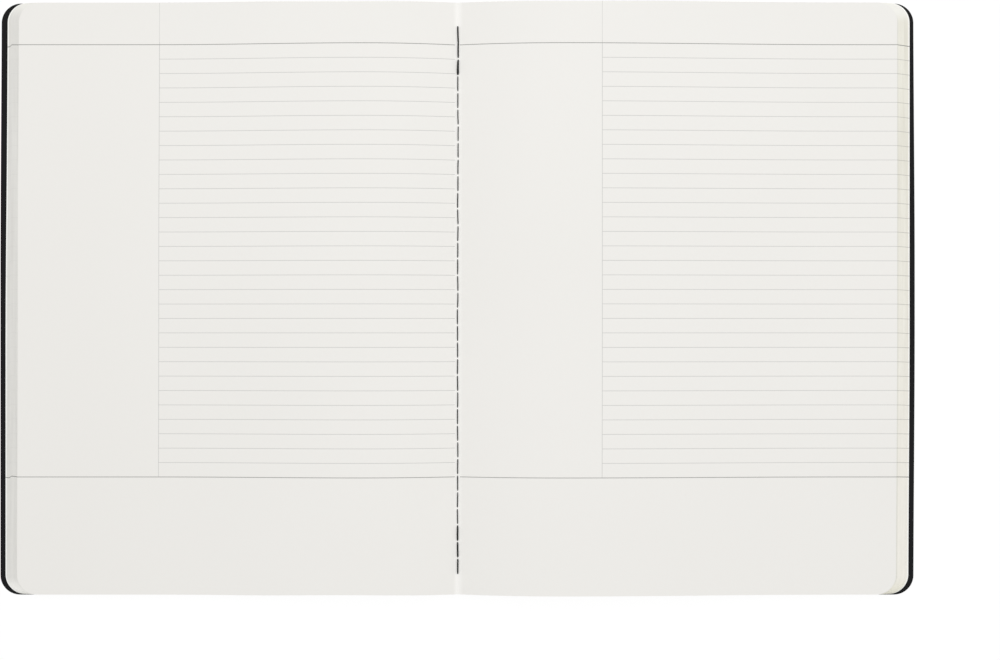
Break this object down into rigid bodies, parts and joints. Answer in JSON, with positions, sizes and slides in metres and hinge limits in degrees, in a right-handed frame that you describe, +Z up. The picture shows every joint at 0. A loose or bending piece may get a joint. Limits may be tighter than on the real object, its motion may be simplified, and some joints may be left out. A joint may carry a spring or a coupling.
{
  "type": "open composition notebook",
  "caption": "Sewn notebook lying open at its middle, with cream ruled leaves arched at the fold, rounded corners and a thin black card cover that folds shut.",
  "frame": {"origin": "on the table under the middle of the fold, at the lowest level of the open book", "axes": "+X from the fold over the right page, +Y along the fold to the head of the page, +Z up out of the pages"},
  "size_m": [0.3838, 0.2484, 0.0114],
  "materials": {
    "card": "matt black card",
    "leaves": "cut edges of uncoated paper",
    "page": "uncoated cream-white paper",
    "ink": "light grey printed lines",
    "thread": "black twisted thread"
  },
  "bodies": {
    "back_half": {"back_cover": "card", "right_leaves": "leaves", "right_top_leaves": "page", "right_ruling": "ink"},
    "spine": {"spine_strip": "card", "inner_thread": "thread", "outer_thread": "thread"},
    "front_half": {"front_cover": "card", "left_leaves": "leaves", "left_top_leaves": "page", "left_ruling": "ink"}
  },
  "joints": [
    {"name": "closing", "type": "hinge", "parent": "back_half", "child": "front_half", "pos_m": [0, 0, 0.0042], "axis": [0, 1, 0], "range_deg": [0, 179.5], "deforming": ["right_top_leaves", "left_top_leaves", "right_ruling", "left_ruling"]},
    {"name": "spine_turn", "type": "hinge", "parent": "back_half", "child": "spine", "pos_m": [0, 0, 0.0042], "axis": [0, 1, 0], "range_deg": [0, 89.75]}
  ],
  "couplings": [
    {"joint": "spine_turn", "follows": "closing", "ratio": 0.5}
  ]
}
